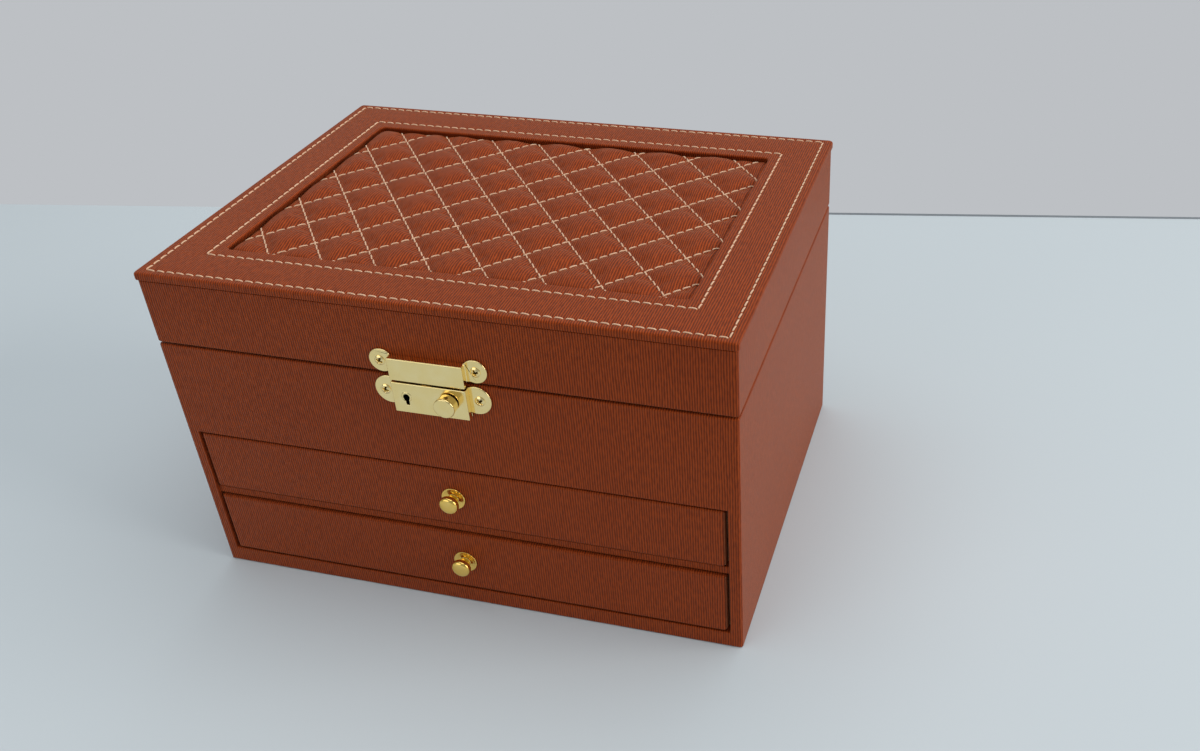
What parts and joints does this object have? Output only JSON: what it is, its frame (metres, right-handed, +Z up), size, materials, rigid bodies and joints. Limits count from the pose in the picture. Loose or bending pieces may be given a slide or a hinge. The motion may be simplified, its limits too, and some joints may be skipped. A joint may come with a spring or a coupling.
{
  "type": "jewellery case",
  "caption": "Leather-covered jewellery case with a diamond-quilted hinged lid, a small brass lock on the front and shallow sliding drawers with brass knobs.",
  "frame": {"origin": "centre of the base, on the surface that the case stands on", "axes": "+X to the right seen from the front, -Y out of the front with the lock, +Z up"},
  "size_m": [0.2514, 0.2015, 0.1537],
  "materials": {
    "leather": "chestnut grained faux leather with cream stitching",
    "fibreboard": "raw medium-density fibreboard",
    "velvet": "short-pile beige velvet",
    "felt": "dark brown felt",
    "brass": "polished pale gold plating",
    "mirror": "silvered glass"
  },
  "bodies": {
    "case": {"back_board": "fibreboard", "base_felt": "felt", "bay_floor_lining": "velvet", "body_leather": "leather", "bottom_board": "fibreboard", "compartment_floor": "fibreboard", "compartment_lining": "velvet", "drawer_shelf": "fibreboard", "front_rail_board": "fibreboard", "hinge_base_leaves": "brass", "hinge_base_screws": "brass", "hinge_pins": "brass", "left_side_board": "fibreboard", "lock_cover": "brass", "lock_plate": "brass", "lock_screws": "brass", "right_side_board": "fibreboard", "ring_bay_divider": "velvet", "ring_rolls": "velvet", "shelf_leather": "leather", "tray_dividers": "velvet"},
    "lid": {"hasp_plate": "brass", "hasp_screws": "brass", "hinge_lid_leaves": "brass", "hinge_lid_screws": "brass", "lid_back_board": "fibreboard", "lid_front_board": "fibreboard", "lid_leather": "leather", "lid_left_board": "fibreboard", "lid_lining": "velvet", "lid_panel": "fibreboard", "lid_right_board": "fibreboard", "mirror": "mirror", "quilted_pad": "leather", "top_frame_board": "fibreboard", "top_frame_leather": "leather"},
    "upper_drawer": {"upper_drawer_back": "fibreboard", "upper_drawer_bottom": "fibreboard", "upper_drawer_dividers": "velvet", "upper_drawer_front_board": "fibreboard", "upper_drawer_front_leather": "leather", "upper_drawer_knob": "brass", "upper_drawer_knob_screw": "brass", "upper_drawer_left_side": "fibreboard", "upper_drawer_lining": "velvet", "upper_drawer_right_side": "fibreboard"},
    "lower_drawer": {"lower_drawer_back": "fibreboard", "lower_drawer_bottom": "fibreboard", "lower_drawer_dividers": "velvet", "lower_drawer_front_board": "fibreboard", "lower_drawer_front_leather": "leather", "lower_drawer_knob": "brass", "lower_drawer_knob_screw": "brass", "lower_drawer_left_side": "fibreboard", "lower_drawer_lining": "velvet", "lower_drawer_right_side": "fibreboard"},
    "latch": {"latch_bolt": "brass", "latch_knob": "brass"},
    "lever": {"lock_lever": "brass"}
  },
  "joints": [
    {"name": "lid_hinge", "type": "hinge", "parent": "case", "child": "lid", "pos_m": [0, 0.0966, 0.12045], "axis": [-1, 0, 0], "range_deg": [0, 100]},
    {"name": "upper_drawer_slide", "type": "slide", "parent": "case", "child": "upper_drawer", "axis": [0, -1, 0], "range_m": [0, 0.12]},
    {"name": "lower_drawer_slide", "type": "slide", "parent": "case", "child": "lower_drawer", "axis": [0, -1, 0], "range_m": [0, 0.12]},
    {"name": "latch_slide", "type": "slide", "parent": "case", "child": "latch", "axis": [-1, 0, 0], "range_m": [0, 0.0032]},
    {"name": "lever_turn", "type": "hinge", "parent": "case", "child": "lever", "pos_m": [-0.01, -0.094, 0.1128], "axis": [0, -1, 0], "range_deg": [0, 90]}
  ]
}
